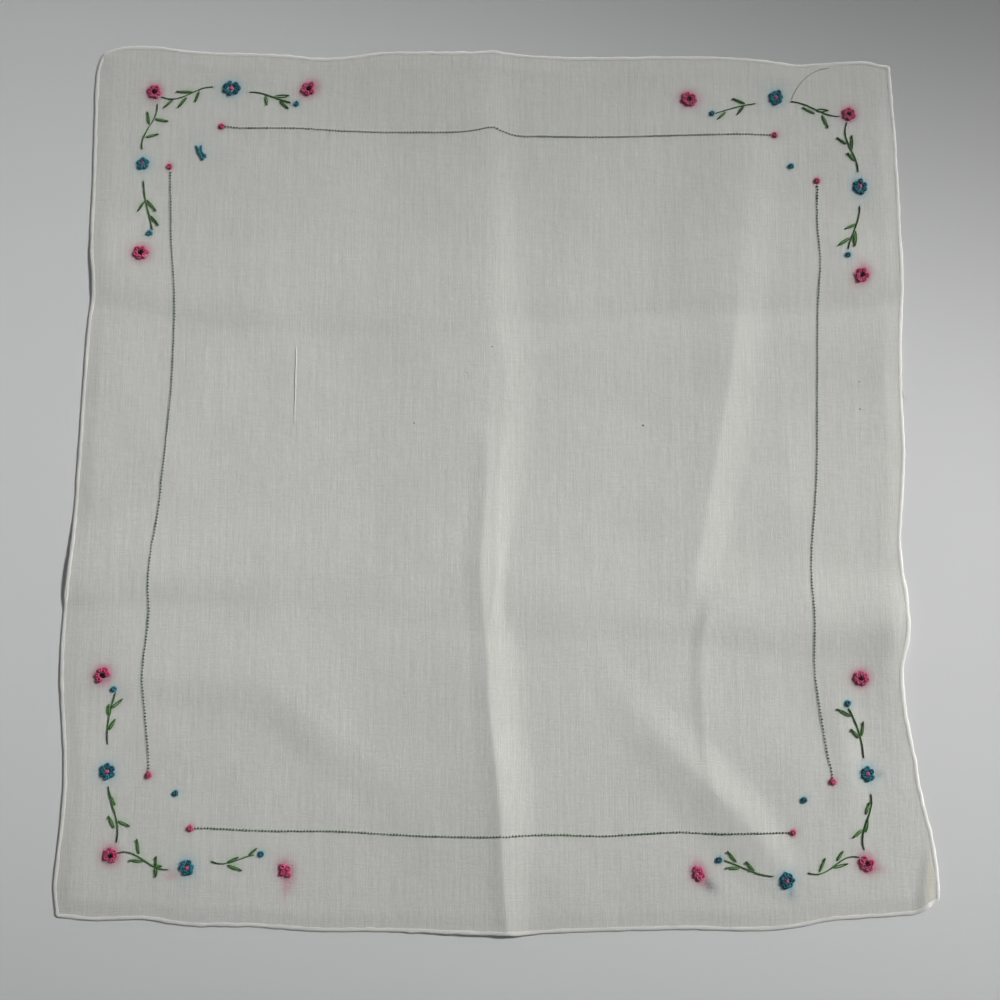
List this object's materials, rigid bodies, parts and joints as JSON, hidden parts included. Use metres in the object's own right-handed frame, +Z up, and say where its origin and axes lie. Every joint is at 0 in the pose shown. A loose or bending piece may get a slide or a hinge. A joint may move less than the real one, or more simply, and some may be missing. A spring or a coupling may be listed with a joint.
{
  "type": "linen handkerchief",
  "caption": "Square sheer linen handkerchief laid flat, with a rolled hem, soft folds and small embroidered flower sprays at its corners.",
  "frame": {"origin": "middle of the cloth's outline, on the surface it lies on", "axes": "+Z up out of the surface, +X to the cloth's right and +Y to its top edge as seen from above"},
  "size_m": [0.2978, 0.3122, 0.0037],
  "materials": {
    "linen": "sheer off-white linen lawn, matt, with a fine plain weave",
    "hem": "rolled and whipped hem in cream linen and cotton thread",
    "pink_thread": "stranded embroidery cotton, soft sheen",
    "dark_thread": "stranded embroidery cotton, soft sheen",
    "blue_thread": "stranded embroidery cotton, soft sheen",
    "green_thread": "stranded embroidery cotton, soft sheen"
  },
  "bodies": {
    "root": {"linen_cloth": "linen"}
  },
  "joints": []
}
